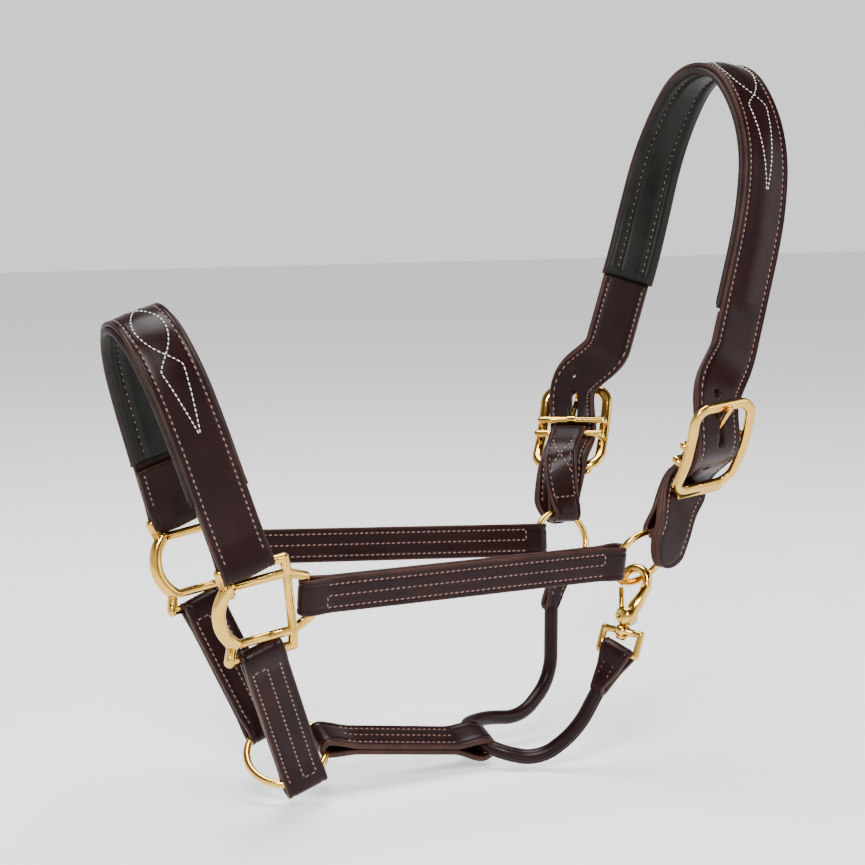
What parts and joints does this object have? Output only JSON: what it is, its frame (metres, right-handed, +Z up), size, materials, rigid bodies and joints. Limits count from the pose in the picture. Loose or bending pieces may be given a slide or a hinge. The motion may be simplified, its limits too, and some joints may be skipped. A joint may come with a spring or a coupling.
{
  "type": "leather headcollar",
  "caption": "Leather horse headcollar with padded noseband and crown, brass squares, rings and buckles, and a rolled throat strap clipped by a snap.",
  "frame": {"origin": "inside of the crown lining at the middle of its arch, where it rests on the horse's poll", "axes": "+X from the nose to the poll, +Y to the horse's off (right) side, +Z up"},
  "size_m": [0.526, 0.2478, 0.522],
  "materials": {
    "leather": "satin dark havana leather",
    "lining": "soft matt lining leather",
    "filler": "plain split leather",
    "foam": "closed-cell foam",
    "core": "braided cord",
    "brass": "polished cast brass",
    "spring": "spring wire"
  },
  "bodies": {
    "headcollar": {"near_buckle_frame": "brass", "near_billet_backing": "leather", "off_buckle_frame": "brass", "off_billet_backing": "leather", "crown_strap": "leather", "crown_padding": "foam", "crown_lining": "lining", "noseband_padding": "foam", "noseband_lining": "lining", "near_square": "brass", "off_square": "brass", "noseband_strap": "leather", "near_cheek_strap": "leather", "near_cheek_filler": "filler", "near_chin_strap": "leather", "near_chin_filler": "filler", "near_chape": "leather", "near_chape_filler": "filler", "off_cheek_strap": "leather", "off_cheek_filler": "filler", "off_chin_strap": "leather", "off_chin_filler": "filler", "off_chape": "leather", "off_chape_filler": "filler", "throat_strap": "leather", "throat_core": "core", "chin_connector": "leather", "chin_connector_filler": "filler", "snap_swivel_eye": "brass"},
    "near_side_ring": {"near_side_ring": "brass"},
    "off_side_ring": {"off_side_ring": "brass"},
    "lead_ring": {"lead_ring": "brass"},
    "near_tongue": {"near_buckle_tongue": "brass"},
    "off_tongue": {"off_buckle_tongue": "brass"},
    "snap": {"snap_body": "brass", "snap_gate_pin": "brass", "snap_gate_spring": "spring"},
    "snap_gate": {"snap_gate": "brass"}
  },
  "joints": [
    {"name": "near_tongue_lift", "type": "hinge", "parent": "headcollar", "child": "near_tongue", "pos_m": [-0.0721, -0.10732, -0.26689], "axis": [0.9931, 0.0602, 0.1003], "range_deg": [0, 12]},
    {"name": "near_ring_turn", "type": "hinge", "parent": "headcollar", "child": "near_side_ring", "pos_m": [-0.114, -0.079, -0.356], "axis": [-0.1002, 0.9016, 0.4208], "continuous": true},
    {"name": "off_tongue_lift", "type": "hinge", "parent": "headcollar", "child": "off_tongue", "pos_m": [-0.07549, 0.08005, -0.27411], "axis": [-0.7015, 0.7115, -0.0401], "range_deg": [0, 12]},
    {"name": "off_ring_turn", "type": "hinge", "parent": "headcollar", "child": "off_side_ring", "pos_m": [-0.113, 0.033, -0.362], "axis": [-0.0501, 0.9314, -0.3605], "continuous": true},
    {"name": "lead_ring_turn", "type": "hinge", "parent": "headcollar", "child": "lead_ring", "pos_m": [-0.374, -0.019, -0.484], "axis": [-0.2704, -0.5107, 0.8161], "continuous": true},
    {"name": "snap_swivel", "type": "hinge", "parent": "headcollar", "child": "snap", "pos_m": [-0.13, -0.075, -0.427], "axis": [0.3419, 0.1045, 0.9339], "range_deg": [-4, 4]},
    {"name": "snap_gate_open", "type": "hinge", "parent": "snap", "child": "snap_gate", "pos_m": [-0.12221, -0.06892, -0.40109], "axis": [0.8262, 0.44, -0.3517], "range_deg": [0, 20], "stiffness_Nm_per_rad": 0.02, "springref_deg": -17.19}
  ]
}
